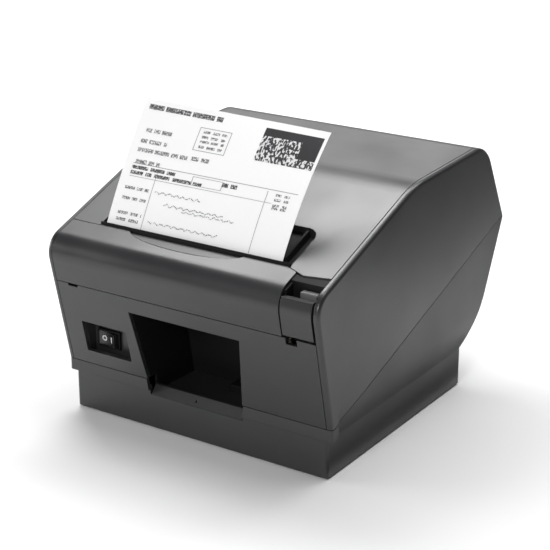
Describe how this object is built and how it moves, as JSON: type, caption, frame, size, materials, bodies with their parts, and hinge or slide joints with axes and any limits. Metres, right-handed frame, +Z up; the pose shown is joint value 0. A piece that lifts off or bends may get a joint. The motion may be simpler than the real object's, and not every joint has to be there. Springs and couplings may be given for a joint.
{
  "type": "receipt printer",
  "caption": "Wide clamshell receipt printer with a paper slip, sprung opening lever, front cable bay, rocker switch and rear sockets.",
  "frame": {"origin": "middle of the footprint, on the table", "axes": "+X to the right seen from the front, +Y to the back, +Z up"},
  "size_m": [0.18, 0.2124, 0.1797],
  "materials": {
    "case_plastic": "satin, finely textured",
    "base_plastic": "matt, finely textured",
    "black_plastic": "matt",
    "grey_plastic": "satin",
    "switch_plastic": "glossy",
    "mark_plastic": "matt",
    "button_plastic": "satin",
    "acetal": "satin",
    "frame_steel": "zinc plated sheet",
    "bright_steel": "ground",
    "motor_steel": "drawn can",
    "head_aluminium": "extruded",
    "head_ceramic": "glazed",
    "platen_rubber": "ground, matt",
    "foot_rubber": "matt",
    "receipt_paper": "smooth thermal coating, printed",
    "roll_paper": "smooth thermal coating",
    "core_card": "spiral wound",
    "board_laminate": "solder resist",
    "board_components": "moulded"
  },
  "bodies": {
    "case": {"lower_case": "base_plastic", "upper_case": "case_plastic", "front_panel": "case_plastic", "front_bay_liner": "black_plastic", "bay_floor": "base_plastic", "bay_block": "black_plastic", "bay_sill": "base_plastic", "switch_recess": "case_plastic", "switch_housing": "black_plastic", "lever_well": "black_plastic", "lever_pin": "bright_steel", "idler_post": "bright_steel", "feed_motor": "motor_steel", "motor_bracket": "frame_steel", "chassis_frame": "frame_steel", "head_springs": "bright_steel", "head_backplate": "frame_steel", "cutter_frame": "frame_steel", "cutter_motor": "motor_steel", "paper_web": "roll_paper", "roll_cradle": "black_plastic", "main_board": "board_laminate", "board_parts": "board_components", "power_inlet": "black_plastic", "drawer_socket": "black_plastic", "interface_plate": "frame_steel", "interface_card": "board_laminate", "data_socket": "grey_plastic", "plate_screws": "bright_steel", "paper_end_sensor": "black_plastic", "near_end_sensor": "black_plastic", "rubber_feet": "foot_rubber", "base_screws": "bright_steel", "hinge_pins": "bright_steel"},
    "lid": {"printer_cover": "case_plastic", "exit_guide": "black_plastic", "lid_inner_frame": "black_plastic", "platen_bracket": "frame_steel", "platen_bushes": "acetal", "fixed_blade": "bright_steel", "receipt": "receipt_paper"},
    "platen": {"platen_roller": "platen_rubber", "platen_shaft": "bright_steel", "platen_gear": "acetal"},
    "idler": {"idler_gear": "acetal"},
    "pinion": {"motor_pinion": "acetal"},
    "nose": {"front_cover": "case_plastic", "tear_bar": "black_plastic"},
    "lever": {"cover_open_lever": "case_plastic"},
    "latch": {"latch_bar": "bright_steel"},
    "rocker": {"power_rocker": "switch_plastic", "rocker_marks": "mark_plastic"},
    "button": {"feed_button": "button_plastic"},
    "roll": {"paper_roll": "roll_paper", "roll_core": "core_card"},
    "cutter": {"cutter_blade": "bright_steel"},
    "head": {"thermal_head": "head_ceramic", "head_heatsink": "head_aluminium"}
  },
  "joints": [
    {"name": "lid_hinge", "type": "hinge", "parent": "case", "child": "lid", "pos_m": [0, 0.09128, 0.11568], "axis": [-1, 0, 0], "range_deg": [0, 95]},
    {"name": "platen_spin", "type": "hinge", "parent": "lid", "child": "platen", "pos_m": [0, -0.0742, 0.093], "axis": [1, 0, 0], "continuous": true},
    {"name": "idler_spin", "type": "hinge", "parent": "case", "child": "idler", "pos_m": [0.0627, -0.06629, 0.06865], "axis": [1, 0, 0], "continuous": true},
    {"name": "pinion_spin", "type": "hinge", "parent": "case", "child": "pinion", "pos_m": [0.0627, -0.0462, 0.06327], "axis": [1, 0, 0], "continuous": true},
    {"name": "front_cover_slide", "type": "slide", "parent": "case", "child": "nose", "axis": [0, -0.34, 0.9404], "range_m": [0, 0.02]},
    {"name": "lever_turn", "type": "hinge", "parent": "case", "child": "lever", "pos_m": [0.0759, -0.0986, 0.0864], "axis": [1, 0, 0], "range_deg": [0, 16], "stiffness_Nm_per_rad": 0.15},
    {"name": "latch_turn", "type": "hinge", "parent": "case", "child": "latch", "pos_m": [-0.006, -0.086, 0.0746], "axis": [1, 0, 0], "range_deg": [0, 16]},
    {"name": "rocker_tilt", "type": "hinge", "parent": "case", "child": "rocker", "pos_m": [-0.0632, -0.0839, 0.047], "axis": [0, 0, 1], "range_deg": [0, 20]},
    {"name": "button_press", "type": "slide", "parent": "case", "child": "button", "axis": [0, 0, -1], "range_m": [0, 0.0015], "stiffness_N_per_m": 150},
    {"name": "roll_spin", "type": "hinge", "parent": "case", "child": "roll", "pos_m": [-0.006, 0.018, 0.077], "axis": [1, 0, 0], "continuous": true},
    {"name": "cutter_slide", "type": "slide", "parent": "case", "child": "cutter", "axis": [0, 1, 0], "range_m": [0, 0.0045]},
    {"name": "head_slide", "type": "slide", "parent": "case", "child": "head", "axis": [0, -0.9907, -0.1358], "range_m": [0, 0.0008], "stiffness_N_per_m": 900, "deforming": ["head_springs"]}
  ],
  "couplings": [
    {"joint": "idler_spin", "follows": "platen_spin", "ratio": -0.6},
    {"joint": "pinion_spin", "follows": "platen_spin", "ratio": 2},
    {"joint": "latch_turn", "follows": "lever_turn", "ratio": 1}
  ]
}
